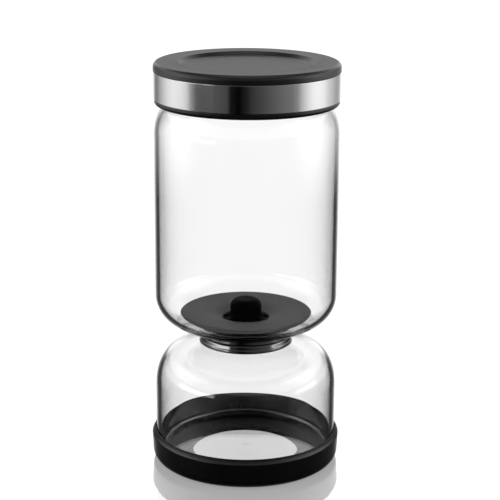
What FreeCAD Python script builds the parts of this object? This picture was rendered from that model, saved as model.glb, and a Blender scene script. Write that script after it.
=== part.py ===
"""A pickle keeper: two glass chambers joined at a narrow waist, with a strainer that lifts out.

Pickles stand in the tall upper chamber. Brine runs down past the strainer and through the
drain stem into the lower chamber, and back again when the keeper is turned over onto its lid.
Lengths are in millimetres. The origin is the middle of the underside, +Z is up and -Y is front.
"""
import FreeCAD, Part
import math
import os
import Sketcher

values = {
    # glass of both chambers
    "glass_radius": 50.0,
    "glass_wall": 2.4,
    "rim_fillet": 0.8,
    # silicone boot under the lower chamber
    "boot_floor": 2.6,
    "boot_floor_width": 20.4,
    "boot_height": 17.2,
    "boot_gap": 0.15,
    "boot_base_wall": 1.45,
    "boot_lip_wall": 2.25,
    "boot_bevel": 2.6,
    "boot_rim_width": 0.8,
    "boot_heel_fillet": 3.0,
    "boot_lip_fillet": 1.4,
    # lower chamber: its wall, then what each stretch above adds
    "lower_wall_height": 56.1,
    "lower_shoulder_rise": 7.8,
    "lower_crown_rise": 1.8,
    "lower_neck_height": 2.4,
    "lower_heel_fillet": 6.0,
    "lower_shoulder_fillet": 15.5,
    "lower_brow_inset": 15.5,
    "lower_brow_fillet": 30.0,
    "neck_fillet": 1.5,
    # waist: neck ring, seal, clamp nut, gaskets and drain stem
    "waist_radius": 26.0,
    "neck_cover": 2.6,
    "bond_gap": 0.15,
    "hub_wall": 0.95,
    "ring_web": 1.4,
    "ring_foot_gap": 0.1,
    "ring_bead": 0.5,
    "ring_bead_height": 1.9,
    "seal_thickness": 0.6,
    "seal_inset": 0.6,
    "nut_height": 2.7,
    "waist_fillet": 0.35,
    "gasket_thickness": 1.0,
    "gasket_inset": 2.0,
    "stem_wall": 1.9,
    "stem_engagement": 4.0,
    "thread_depth": 0.8,
    "thread_gap": 0.2,
    "hole_gap": 0.6,
    "flange_margin": 0.7,
    "flange_thickness": 1.8,
    "flange_fillet": 0.6,
    # upper chamber: its bowl and wall, then what each stretch above adds
    "bowl_margin": 9.4,
    "bowl_slope": 0.5783,
    "bowl_inner_fillet": 30.0,
    "bowl_outer_fillet": 15.5,
    "upper_wall_height": 117.3,
    "upper_shoulder_rise": 8.5,
    "upper_neck_height": 12.8,
    "upper_shoulder_fillet": 28.5,
    "upper_neck_fillet": 3.0,
    "mouth_inset": 5.7,
    # strainer plate: its throat, then what the dish and the rim add
    "throat_inset": 4.0,
    "throat_rise": 0.2,
    "dish_margin": 2.5,
    "dish_rise": 2.2,
    "dish_fillet": 16.0,
    "strainer_margin": 3.0,
    "strainer_rise": 1.05,
    "strainer_wall": 1.6,
    "strainer_edge": 2.2,
    "strainer_edge_wall": 1.8,
    "strainer_edge_fillet": 0.72,
    "ledge_width": 0.8,
    "ledge_depth": 0.8,
    "lug_count": 6,
    "lug_inset": 3.0,
    "lug_length": 3.2,
    "lug_width": 3.0,
    "lug_root": 0.8,
    "fin_count": 6,
    "fin_width": 1.4,
    "fin_depth": 5.5,
    "fin_root": 1.2,
    "fin_gap": 0.5,
    # strainer grip
    "grip_inset": 4.4,
    "grip_height": 10.6,
    "grip_wall": 1.5,
    "grip_crown_fillet": 4.0,
    "grip_inner_fillet": 2.0,
    "grip_flare_fillet": 3.6,
    "grip_flare_wall": 0.8,
    "grip_gap": 0.1,
    "finger_wall": 1.3,
    "finger_lip": 0.6,
    "finger_lip_height": 1.2,
    "drain_slot_count": 6,
    "drain_slot_width": 4.2,
    "drain_slot_inset": 3.6,
    # lid
    "lid_overhang": 0.2,
    "lid_cap_height": 5.3,
    "lid_cap_fillet": 1.9,
    "lid_cap_wall": 2.0,
    "lid_land_width": 3.2,
    "lid_recess_inset": 12.7,
    "lid_recess_slope": 2.5,
    "lid_recess_wall": 1.0,
    "lid_recess_depth": 2.6,
    "lid_dish": 0.5,
    "lid_spigot_wall": 1.8,
    "band_step": 0.1,
    "band_wall": 0.7,
    "band_gap": 0.1,
    "lid_ledge": 0.3,
    "lid_skirt_wall": 2.0,
    "lid_skirt_drop": 13.8,
    "lid_skirt_rise": 4.0,
    "lid_foot_height": 3.2,
    "lid_foot_fillet": 1.7,
    "lid_deck": 2.0,
    "plug_gap": 1.0,
    "plug_depth": 10.0,
    "plug_wall": 2.2,
    "plug_fillet": 1.0,
    "rib_count": 12,
    "rib_width": 1.2,
    "rib_gap": 0.4,
    "rib_height": 8.0,
    "rib_root": 0.7,
    "seal_groove_depth": 0.9,
    "seal_groove_height": 5.4,
    "seal_groove_rise": 2.4,
    "lip_gap": 0.3,
    "lip_height": 1.2,
}


class Formula:
    """A formula of the sheet's cells, with its present value for a sketch to start from."""

    def __init__(self, text, number):
        self.text = text
        self.number = number

    def join(self, sign, other, number):
        text = other.text if isinstance(other, Formula) else repr(other)
        return Formula("(%s %s %s)" % (self.text, sign, text), number)

    def __add__(self, other):
        return self.join("+", other, self.number + number_of(other))

    def __sub__(self, other):
        return self.join("-", other, self.number - number_of(other))

    def __mul__(self, other):
        return self.join("*", other, self.number * number_of(other))

    def __truediv__(self, other):
        return self.join("/", other, self.number / number_of(other))

    def __neg__(self):
        return Formula("(-%s)" % self.text, -self.number)


def number_of(size):
    """The present value of a formula or of a plain number."""
    return size.number if isinstance(size, Formula) else size


def least(one, other):
    """The smaller of two formulas, such as a fillet and what its wall leaves it."""
    text = "min(%s; %s)" % (one.text, other.text)
    return Formula(text, min(one.number, other.number))


class Sizes:
    """The sheet's cells, read as formulas: size.glass_radius and so on."""

    def __init__(self, sheet, cells):
        for row, (alias, number) in enumerate(cells.items(), start=1):
            sheet.set("A%d" % row, alias)
            sheet.set("B%d" % row, str(number))
            sheet.setAlias("B%d" % row, alias)
            setattr(self, alias, Formula("%s.%s" % (sheet.Name, alias), number))


doc = FreeCAD.newDocument("pickle_keeper")
size = Sizes(doc.addObject("Spreadsheet::Sheet", "sizes"), values)
doc.recompute()


def new_body(name):
    body = doc.addObject("PartDesign::Body", name)
    body.Label = name
    body.Placement = FreeCAD.Placement()
    return body


def new_sketch(body, name, role, level=None):
    """An empty sketch on one of the body's origin planes, raised to a level."""
    sketch = body.newObject("Sketcher::SketchObject", name)
    planes = [plane for plane in body.Origin.OriginFeatures if plane.Role == role]
    sketch.AttachmentSupport = [(planes[0], "")]
    sketch.MapMode = "FlatFace"
    if level is not None:
        sketch.setExpression("AttachmentOffset.Base.z", level.text)
    return sketch


def place_point(sketch, geometry, end, across, up):
    """Ties one point of a sketch to its two coordinates, each a formula or zero."""
    spots = (("DistanceX", across, -2), ("DistanceY", up, -1))
    for kind, coordinate, axis in spots:
        if not isinstance(coordinate, Formula):
            sketch.addConstraint(Sketcher.Constraint("PointOnObject", geometry, end, axis))
            continue
        rule = Sketcher.Constraint(kind, -1, 1, geometry, end, coordinate.number)
        index = sketch.addConstraint(rule)
        sketch.setExpression("Constraints[%d]" % index, coordinate.text)


def corner_arc(before, corner, after, radius):
    """The fillet of one corner: its arc, its two ends, and whether it runs backwards."""
    inward = (before - corner).normalize()
    outward = (after - corner).normalize()
    half_angle = inward.getAngle(outward) / 2
    reach = radius / math.tan(half_angle)
    first = corner + inward * reach
    last = corner + outward * reach
    centre = corner + (inward + outward).normalize() * (radius / math.sin(half_angle))
    start = math.atan2(first.y - centre.y, first.x - centre.x)
    stop = math.atan2(last.y - centre.y, last.x - centre.x)
    backwards = (stop - start) % (2 * math.pi) > math.pi
    if backwards:
        start, stop = stop, start
    circle = Part.Circle(centre, FreeCAD.Vector(0, 0, 1), radius)
    return Part.ArcOfCircle(circle, start, stop), first, last, backwards


def draw_outline(sketch, corners):
    """A closed outline through corners of (across, up) or (across, up, fillet radius)."""
    spots = [FreeCAD.Vector(number_of(corner[0]), number_of(corner[1]), 0) for corner in corners]
    count = len(corners)
    arcs = []
    for index, corner in enumerate(corners):
        if len(corner) == 3:
            after = spots[(index + 1) % count]
            arcs.append(corner_arc(spots[index - 1], spots[index], after, corner[2].number))
        else:
            arcs.append((None, spots[index], spots[index], False))
    lines = []
    for index in range(count):
        edge = Part.LineSegment(arcs[index][2], arcs[(index + 1) % count][1])
        lines.append(sketch.addGeometry(edge, False))
    for index, corner in enumerate(corners):
        arc, first, last, backwards = arcs[index]
        arriving = lines[index - 1]
        leaving = lines[index]
        if arc is None:
            rule = Sketcher.Constraint("Coincident", arriving, 2, leaving, 1)
            sketch.addConstraint(rule)
            place_point(sketch, leaving, 1, corner[0], corner[1])
            continue
        bend = sketch.addGeometry(arc, False)
        near, far = (2, 1) if backwards else (1, 2)
        sketch.addConstraint(Sketcher.Constraint("Tangent", arriving, 2, bend, near))
        sketch.addConstraint(Sketcher.Constraint("Tangent", leaving, 1, bend, far))
        rule = Sketcher.Constraint("Radius", bend, corner[2].number)
        sketch.setExpression("Constraints[%d]" % sketch.addConstraint(rule), corner[2].text)
        meeting = sketch.addGeometry(Part.Point(spots[index]), True)
        sketch.addConstraint(Sketcher.Constraint("PointOnObject", meeting, 1, arriving))
        sketch.addConstraint(Sketcher.Constraint("PointOnObject", meeting, 1, leaving))
        place_point(sketch, meeting, 1, corner[0], corner[1])


def turned(body, name, corners, kind="PartDesign::Revolution"):
    """A ring or cup: an outline in the XZ plane turned once round the Z axis."""
    sketch = new_sketch(body, name + "_outline", "XZ_Plane")
    draw_outline(sketch, corners)
    doc.recompute()
    feature = body.newObject(kind, name)
    feature.Profile = sketch
    feature.ReferenceAxis = (sketch, ["V_Axis"])
    feature.Angle = 360
    doc.recompute()
    return feature


def raised(body, name, level, corners, height):
    """A straight pad on an outline in a level plane, grown upwards by a height."""
    sketch = new_sketch(body, name + "_outline", "XY_Plane", level)
    draw_outline(sketch, corners)
    doc.recompute()
    pad = body.newObject("PartDesign::Pad", name)
    pad.Profile = sketch
    pad.setExpression("Length", height.text)
    doc.recompute()
    return pad


def sunk(body, name, level, corners, depth):
    """A straight pocket on an outline in a level plane, cut downwards by a depth."""
    sketch = new_sketch(body, name + "_outline", "XY_Plane", level)
    draw_outline(sketch, corners)
    doc.recompute()
    whole = body.Tip.Shape.Volume
    pocket = body.newObject("PartDesign::Pocket", name)
    pocket.Profile = sketch
    pocket.setExpression("Length", depth.text)
    doc.recompute()
    if pocket.Shape.Volume >= whole:
        raise RuntimeError("%s cuts nothing" % name)
    return pocket


def repeated(body, feature, count):
    """Copies of a feature, evenly spaced round the Z axis."""
    pattern = body.newObject("PartDesign::PolarPattern", feature.Name + "_ring")
    pattern.Originals = [feature]
    pattern.Axis = (feature.Profile[0], ["N_Axis"])
    pattern.Angle = 360
    pattern.setExpression("Occurrences", count.text)
    body.Tip = pattern
    doc.recompute()
    return pattern


def ring_edges(feature, rings):
    """Names of the full circles of a feature at the given (radius, height) pairs."""
    names = []
    for index, edge in enumerate(feature.Shape.Edges, start=1):
        if not isinstance(edge.Curve, Part.Circle):
            continue
        for radius, height in rings:
            off_radius = abs(edge.Curve.Radius - radius.number)
            off_height = abs(edge.Curve.Center.z - height.number)
            if off_radius < 0.001 and off_height < 0.001:
                names.append("Edge%d" % index)
    if len(names) < len(rings):
        raise RuntimeError("%s has lost a rim" % feature.Name)
    return names


def rounded(body, name, feature, rings, radius):
    """A fillet on the full circles of a feature."""
    fillet = body.newObject("PartDesign::Fillet", name)
    fillet.Base = (feature, ring_edges(feature, rings))
    fillet.setExpression("Radius", radius.text)
    doc.recompute()
    return fillet


def bar_outline(inner, outer, width):
    """A rectangle that points along +X, from one radius to another."""
    half = width / 2
    return [(inner, -half), (outer, -half), (outer, half), (inner, half)]


def hollowed(body, name, blank, rim):
    """A glass wall of even thickness inside a blank, open at its rim."""
    tops = []
    for index, face in enumerate(blank.Shape.Faces, start=1):
        box = face.BoundBox
        if abs(box.ZMin - rim.number) < 0.001 and abs(box.ZMax - rim.number) < 0.001:
            tops.append("Face%d" % index)
    shell = body.newObject("PartDesign::Thickness", name)
    shell.Base = (blank, tops)
    shell.setExpression("Value", size.glass_wall.text)
    shell.Reversed = True
    shell.Join = 0
    doc.recompute()
    return shell


# Radii of the waist, from its skin inwards
neck_radius = size.waist_radius - size.neck_cover
hub_radius = neck_radius - size.glass_wall - size.bond_gap
bore_radius = hub_radius - size.hub_wall
thread_radius = bore_radius - size.thread_gap
stem_radius = thread_radius - size.thread_depth
stem_bore_radius = stem_radius - size.stem_wall
drain_hole_radius = thread_radius + size.hole_gap
gasket_radius = size.waist_radius - size.gasket_inset
throat_radius = stem_bore_radius - size.throat_inset

# Radii of the glass and the lid
brow_radius = size.glass_radius - size.lower_brow_inset
bowl_radius = gasket_radius + size.bowl_margin
bowl_run = size.glass_radius - bowl_radius
# The largest fillets that the stretches of glass between their corners have room for
bowl_inner_limit = bowl_run * 1.81
bowl_outer_limit = bowl_run * 0.94
shoulder_limit = size.upper_shoulder_rise * size.upper_shoulder_rise / size.mouth_inset * 2.3
mouth_radius = size.glass_radius - size.mouth_inset
mouth_bore_radius = mouth_radius - size.glass_wall
lid_radius = size.glass_radius + size.lid_overhang
skirt_radius = lid_radius - size.band_step - size.band_wall - size.band_gap
skirt_bore_radius = skirt_radius - size.lid_skirt_wall

# Levels of the stack, from the table up
lower_base = size.boot_floor
lower_brow = lower_base + size.lower_wall_height + size.lower_shoulder_rise
lower_crown = lower_brow + size.lower_crown_rise
lower_rim = lower_crown + size.lower_neck_height
ring_top = lower_rim + size.ring_web
nut_base = ring_top + size.seal_thickness
nut_top = nut_base + size.nut_height
upper_base = nut_top + size.gasket_thickness
upper_floor = upper_base + size.glass_wall
upper_shoulder = upper_base + size.upper_wall_height
upper_neck = upper_shoulder + size.upper_shoulder_rise
upper_rim = upper_neck + size.upper_neck_height
flange_base = upper_floor + size.gasket_thickness
flange_top = flange_base + size.flange_thickness
throat_top = flange_top + size.throat_rise
dish_top = throat_top + size.dish_rise
ledge = throat_top - size.ledge_depth
deck_top = upper_rim + size.lid_deck
seat = upper_rim + size.lid_skirt_rise
lid_top = seat + size.lid_cap_height


def make_foot_boot():
    """The soft boot: an open floor ring and a wall that hugs the glass up to a bevelled lip."""
    body = new_body("foot_boot")
    inner = size.glass_radius + size.boot_gap
    hole_radius = size.glass_radius - size.boot_floor_width
    turned(body, "boot_wall", [
        (hole_radius, 0),
        (inner + size.boot_base_wall, 0, size.boot_heel_fillet),
        (inner + size.boot_lip_wall, size.boot_height - size.boot_bevel, size.boot_lip_fillet),
        (inner + size.boot_rim_width, size.boot_height),
        (inner, size.boot_height),
        (inner, lower_base, size.lower_heel_fillet + size.boot_gap),
        (hole_radius, lower_base),
    ])
    return body


def make_lower_jar():
    """The brine chamber: a blown drum with a flat base, a domed shoulder and a short neck."""
    body = new_body("lower_jar")
    drum = turned(body, "lower_blank", [
        (0, lower_base),
        (size.glass_radius, lower_base, size.lower_heel_fillet),
        (size.glass_radius, lower_base + size.lower_wall_height, size.lower_shoulder_fillet),
        (brow_radius, lower_brow, size.lower_brow_fillet),
        (neck_radius, lower_crown, size.neck_fillet),
        (neck_radius, lower_rim),
        (0, lower_rim),
    ])
    hollowed(body, "lower_glass", drum, lower_rim)
    return body


def make_neck_ring():
    """The threaded ring on the lower neck: a skirt outside the glass and a hub inside it."""
    body = new_body("neck_ring")
    skirt_bore = neck_radius + size.bond_gap
    fall = size.lower_crown_rise / (brow_radius - neck_radius)
    slope_top = lower_crown + size.ring_foot_gap
    heel_radius = skirt_bore + size.neck_fillet
    heel = slope_top - fall * (heel_radius - neck_radius)
    foot = slope_top - fall * (size.waist_radius - neck_radius)
    bead_radius = size.waist_radius - size.ring_bead
    bead_top = foot + size.ring_bead_height
    turned(body, "ring_wall", [
        (bore_radius, ring_top - size.stem_engagement),
        (hub_radius, ring_top - size.stem_engagement),
        (hub_radius, lower_rim),
        (skirt_bore, lower_rim),
        (skirt_bore, heel + size.neck_fillet),
        (heel_radius, heel),
        (size.waist_radius, foot, size.waist_fillet),
        (size.waist_radius, bead_top, size.waist_fillet),
        (bead_radius, bead_top),
        (bead_radius, ring_top, size.waist_fillet),
        (bore_radius, ring_top),
    ])
    return body


def make_flat_ring(name, inner, outer, base, height):
    """A plain flat ring: a gasket or a seal."""
    body = new_body(name)
    turned(body, name + "_section", [
        (inner, base),
        (outer, base),
        (outer, base + height),
        (inner, base + height),
    ])
    return body


def make_clamp_nut():
    """The nut that pulls the drain stem down and clamps the upper glass between gaskets."""
    body = new_body("clamp_nut")
    turned(body, "nut_section", [
        (bore_radius, nut_base),
        (size.waist_radius, nut_base, size.waist_fillet),
        (size.waist_radius, nut_top, size.waist_fillet),
        (bore_radius, nut_top),
    ])
    return body


def make_upper_jar():
    """The pickle chamber: a tall drum with a bowl-shaped base, drilled for the drain stem."""
    body = new_body("upper_jar")
    inner_fillet = least(size.bowl_inner_fillet, bowl_inner_limit)
    outer_fillet = least(size.bowl_outer_fillet, bowl_outer_limit)
    shoulder_fillet = least(size.upper_shoulder_fillet, shoulder_limit)
    drum = turned(body, "upper_blank", [
        (0, upper_base),
        (bowl_radius, upper_base, inner_fillet),
        (size.glass_radius, upper_base + bowl_run * size.bowl_slope, outer_fillet),
        (size.glass_radius, upper_shoulder, shoulder_fillet),
        (mouth_radius, upper_neck, size.upper_neck_fillet),
        (mouth_radius, upper_rim),
        (0, upper_rim),
    ])
    glass = hollowed(body, "upper_glass", drum, upper_rim)
    rims = [(mouth_radius, upper_rim), (mouth_bore_radius, upper_rim)]
    glass = rounded(body, "mouth_rim", glass, rims, size.rim_fillet)
    whole = glass.Shape.Volume
    hole = turned(body, "drain_hole", [
        (0, upper_base - size.glass_wall),
        (drain_hole_radius, upper_base - size.glass_wall),
        (drain_hole_radius, upper_floor + size.glass_wall),
        (0, upper_floor + size.glass_wall),
    ], "PartDesign::Groove")
    if hole.Shape.Volume >= whole:
        raise RuntimeError("the drain hole cuts nothing")
    return body


def make_drain_stem():
    """The flanged tube through both waists: its flange is inside the upper chamber."""
    body = new_body("drain_stem")
    flange_radius = gasket_radius + size.flange_margin
    turned(body, "stem_section", [
        (stem_bore_radius, ring_top - size.stem_engagement),
        (stem_radius, ring_top - size.stem_engagement),
        (stem_radius, flange_base),
        (flange_radius, flange_base),
        (flange_radius, flange_top, size.flange_fillet),
        (stem_bore_radius, flange_top, size.flange_fillet),
    ])
    return body


def make_strainer_plate():
    """The dished plate that holds the pickles back, with lugs to stand on and centring fins."""
    body = new_body("strainer_plate")
    rim_top = dish_top + size.strainer_rise
    rim_radius = bowl_radius + size.strainer_margin
    dish_radius = stem_bore_radius + size.dish_margin
    ledge_radius = throat_radius - size.ledge_width
    edge_bore = rim_radius - size.strainer_edge_wall
    turned(body, "plate_dish", [
        (throat_radius, ledge),
        (throat_radius, throat_top),
        (dish_radius, dish_top, size.dish_fillet),
        (rim_radius, rim_top, size.strainer_edge_fillet),
        (rim_radius, rim_top - size.strainer_edge, size.strainer_edge_fillet),
        (edge_bore, rim_top - size.strainer_edge),
        (edge_bore, rim_top - size.strainer_wall),
        (dish_radius, dish_top - size.strainer_wall, size.dish_fillet),
        (throat_radius, throat_top - size.strainer_wall),
        (ledge_radius, throat_top - size.strainer_wall),
        (ledge_radius, ledge),
    ])
    lug_inner = stem_bore_radius + size.lug_inset
    lug_shape = bar_outline(lug_inner, lug_inner + size.lug_length, size.lug_width)
    lug_height = size.throat_rise + size.dish_rise - size.strainer_wall + size.lug_root
    lug = raised(body, "spacer_lug", flange_top, lug_shape, lug_height)
    repeated(body, lug, size.lug_count)
    fin_outer = stem_bore_radius - size.fin_gap
    fin_shape = bar_outline(throat_radius + size.fin_gap, fin_outer, size.fin_width)
    fin_base = flange_top - size.fin_depth
    fin_height = size.fin_depth + size.throat_rise - size.strainer_wall + size.fin_root
    fin = raised(body, "centring_fin", fin_base, fin_shape, fin_height)
    repeated(body, fin, size.fin_count)
    return body


def make_strainer_grip():
    """The hollow bell to lift the strainer by, with drain slots between its snap fingers."""
    body = new_body("strainer_grip")
    top = flange_top + size.grip_height
    grip_radius = throat_radius - size.grip_inset
    grip_bore = grip_radius - size.grip_wall
    flare_radius = throat_radius - size.grip_gap
    finger_radius = flare_radius - size.ledge_width
    finger_bore = finger_radius - size.finger_wall
    catch = throat_top - size.strainer_wall - size.grip_gap
    finger_base = catch - size.finger_lip_height
    bell = turned(body, "grip_bell", [
        (0, top),
        (grip_radius, top, size.grip_crown_fillet),
        (grip_radius, ledge + size.grip_flare_wall, size.grip_flare_fillet),
        (flare_radius, ledge + size.grip_flare_wall),
        (flare_radius, ledge),
        (finger_radius, ledge),
        (finger_radius, catch),
        (finger_radius + size.finger_lip, catch),
        (finger_radius, finger_base),
        (finger_bore, finger_base),
        (finger_bore, ledge),
        (grip_bore, ledge, size.grip_flare_fillet),
        (grip_bore, top - size.grip_wall, size.grip_inner_fillet),
        (0, top - size.grip_wall),
    ])
    slot_inner = flare_radius - size.drain_slot_inset
    slot_shape = bar_outline(slot_inner, flare_radius + size.ledge_width, size.drain_slot_width)
    slot_top = ledge + size.grip_flare_fillet
    slot = sunk(body, "drain_slot", slot_top, slot_shape, slot_top - finger_base + size.finger_wall)
    repeated(body, slot, size.drain_slot_count)
    return body


def make_lid_body():
    """The lid's inner moulding: a plug with a floor, a deck on the glass rim and a deep skirt."""
    body = new_body("lid_body")
    foot_radius = skirt_radius + size.band_gap + size.lid_ledge
    foot = upper_rim - size.lid_skirt_drop
    foot_top = foot + size.lid_foot_height
    plug_radius = mouth_bore_radius - size.plug_gap
    plug_base = upper_rim - size.plug_depth
    groove_radius = plug_radius - size.seal_groove_depth
    groove_base = plug_base + size.seal_groove_rise
    turned(body, "lid_moulding", [
        (0, plug_base),
        (plug_radius, plug_base, size.plug_fillet),
        (plug_radius, groove_base),
        (groove_radius, groove_base),
        (groove_radius, groove_base + size.seal_groove_height),
        (plug_radius, groove_base + size.seal_groove_height),
        (plug_radius, upper_rim),
        (skirt_bore_radius, upper_rim),
        (skirt_bore_radius, foot),
        (foot_radius, foot, size.lid_foot_fillet),
        (foot_radius, foot_top),
        (skirt_radius, foot_top),
        (skirt_radius, seat),
        (skirt_bore_radius, seat),
        (skirt_bore_radius, deck_top),
        (groove_radius - size.plug_wall, deck_top),
        (groove_radius - size.plug_wall, plug_base + size.lid_deck),
        (0, plug_base + size.lid_deck),
    ])
    rib_outer = skirt_bore_radius + size.rib_root
    rib_shape = bar_outline(mouth_radius + size.rib_gap, rib_outer, size.rib_width)
    rib_base = upper_rim - size.rib_height
    rib = raised(body, "locating_rib", rib_base, rib_shape, size.rib_height + size.rib_root)
    repeated(body, rib, size.rib_count)
    return body


def make_lid_seal():
    """The soft ring in the plug's groove, with two lips that wipe the inside of the mouth."""
    body = new_body("lid_seal")
    plug_radius = mouth_bore_radius - size.plug_gap
    groove_radius = plug_radius - size.seal_groove_depth
    base = upper_rim - size.plug_depth + size.seal_groove_rise
    top = base + size.seal_groove_height
    lip_radius = mouth_bore_radius - size.lip_gap
    waist = base + size.seal_groove_height / 2
    turned(body, "seal_section", [
        (groove_radius, base),
        (plug_radius, base),
        (lip_radius, base + size.lip_height),
        (plug_radius, waist),
        (lip_radius, waist + size.lip_height),
        (plug_radius, top),
        (groove_radius, top),
    ])
    return body


def make_lid_band():
    """The steel band round the lid, held between the skirt's ledge and the cap."""
    body = new_body("lid_band")
    outer = lid_radius - size.band_step
    inner = outer - size.band_wall
    base = upper_rim - size.lid_skirt_drop + size.lid_foot_height
    turned(body, "band_section", [
        (inner, base),
        (outer, base),
        (outer, seat),
        (inner, seat),
    ])
    return body


def make_lid_cap():
    """The lid's top: a raised rim round a dished recess, with a spigot that sits on the deck."""
    body = new_body("lid_cap")
    spigot_radius = skirt_bore_radius - size.band_gap
    spigot_bore = spigot_radius - size.lid_spigot_wall
    recess_radius = lid_radius - size.lid_recess_inset
    floor_radius = recess_radius - size.lid_recess_slope
    recess_edge = lid_top - size.lid_dish
    recess_floor = lid_top - size.lid_recess_depth
    edge_under = recess_edge - size.lid_cap_wall
    floor_under = recess_floor - size.lid_cap_wall
    turned(body, "cap_section", [
        (0, recess_floor),
        (floor_radius, recess_floor, size.lid_recess_slope),
        (recess_radius, recess_edge, size.lid_cap_fillet),
        (lid_radius - size.lid_land_width, lid_top),
        (lid_radius, lid_top, size.lid_cap_fillet),
        (lid_radius, seat),
        (spigot_radius, seat),
        (spigot_radius, deck_top),
        (spigot_bore, deck_top),
        (spigot_bore, edge_under),
        (recess_radius + size.lid_recess_wall, edge_under),
        (floor_radius + size.lid_recess_wall, floor_under),
        (0, floor_under),
    ])
    return body


pieces = [
    make_foot_boot(),
    make_lower_jar(),
    make_neck_ring(),
    make_flat_ring("neck_seal", bore_radius, size.waist_radius - size.seal_inset,
                   ring_top, size.seal_thickness),
    make_clamp_nut(),
    make_flat_ring("outer_gasket", drain_hole_radius, gasket_radius,
                   nut_top, size.gasket_thickness),
    make_upper_jar(),
    make_flat_ring("inner_gasket", drain_hole_radius, gasket_radius,
                   upper_floor, size.gasket_thickness),
    make_drain_stem(),
    make_strainer_plate(),
    make_strainer_grip(),
    make_lid_body(),
    make_lid_seal(),
    make_lid_band(),
    make_lid_cap(),
]
doc.recompute()

for item in doc.Objects:
    if "Invalid" in item.State or "Error" in item.State:
        raise RuntimeError("%s did not build: %s" % (item.Name, item.State))
for piece in pieces:
    if piece.Shape.isNull() or not piece.Shape.isValid():
        raise RuntimeError("%s has no sound solid" % piece.Label)

os.makedirs("parts", exist_ok=True)
for piece in pieces:
    piece.Shape.exportStep("parts/%s.step" % piece.Label)
    box = piece.Shape.BoundBox
    print("%-16s %9.1f mm3, %6.2f to %6.2f high, radius %5.2f, solids %d"
          % (piece.Label, piece.Shape.Volume, box.ZMin, box.ZMax, box.XMax, len(piece.Shape.Solids)))
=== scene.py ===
from math import atan2, comb, dist, hypot, pi, radians, tan

import bpy
import numpy as np
from mathutils import Matrix, Vector


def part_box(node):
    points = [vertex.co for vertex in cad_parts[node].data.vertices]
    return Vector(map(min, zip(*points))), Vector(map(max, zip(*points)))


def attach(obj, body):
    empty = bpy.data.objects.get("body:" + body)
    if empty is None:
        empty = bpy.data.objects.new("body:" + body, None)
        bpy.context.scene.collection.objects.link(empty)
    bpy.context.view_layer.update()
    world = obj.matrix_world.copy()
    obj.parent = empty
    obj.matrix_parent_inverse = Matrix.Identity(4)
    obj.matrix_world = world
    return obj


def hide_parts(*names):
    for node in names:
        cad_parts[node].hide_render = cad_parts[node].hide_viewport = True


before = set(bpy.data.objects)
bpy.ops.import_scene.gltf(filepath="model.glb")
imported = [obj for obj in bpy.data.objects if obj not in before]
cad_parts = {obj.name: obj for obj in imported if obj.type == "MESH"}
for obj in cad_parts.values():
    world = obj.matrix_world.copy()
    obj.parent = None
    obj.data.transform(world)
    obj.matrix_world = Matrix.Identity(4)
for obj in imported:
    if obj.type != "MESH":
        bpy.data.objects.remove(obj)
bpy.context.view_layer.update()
mm = 0.001
print("frame loaded:", len(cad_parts), "nodes")


def spanOf(node):  # base, top and outer radius of a CAD node, in millimetres
    low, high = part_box(node)
    return low.z / mm, high.z / mm, high.x / mm


# shader helpers

def grey(level):
    return (level, level, level, 1)


class Strand:  # one socket, with the sums that the finishes use
    def __init__(self, finish, socket):
        self.finish = finish
        self.socket = socket

    def maths(self, operation, first, second):
        return self.finish.maths(operation, first, second)

    def __add__(self, other):
        return self.maths("ADD", self, other)

    def __sub__(self, other):
        return self.maths("SUBTRACT", self, other)

    def __rsub__(self, other):
        return self.maths("SUBTRACT", other, self)

    def __mul__(self, other):
        return self.maths("MULTIPLY", self, other)

    def __truediv__(self, other):
        return self.maths("DIVIDE", self, other)

    def __rtruediv__(self, other):
        return self.maths("DIVIDE", other, self)

    __radd__ = __add__
    __rmul__ = __mul__


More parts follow.
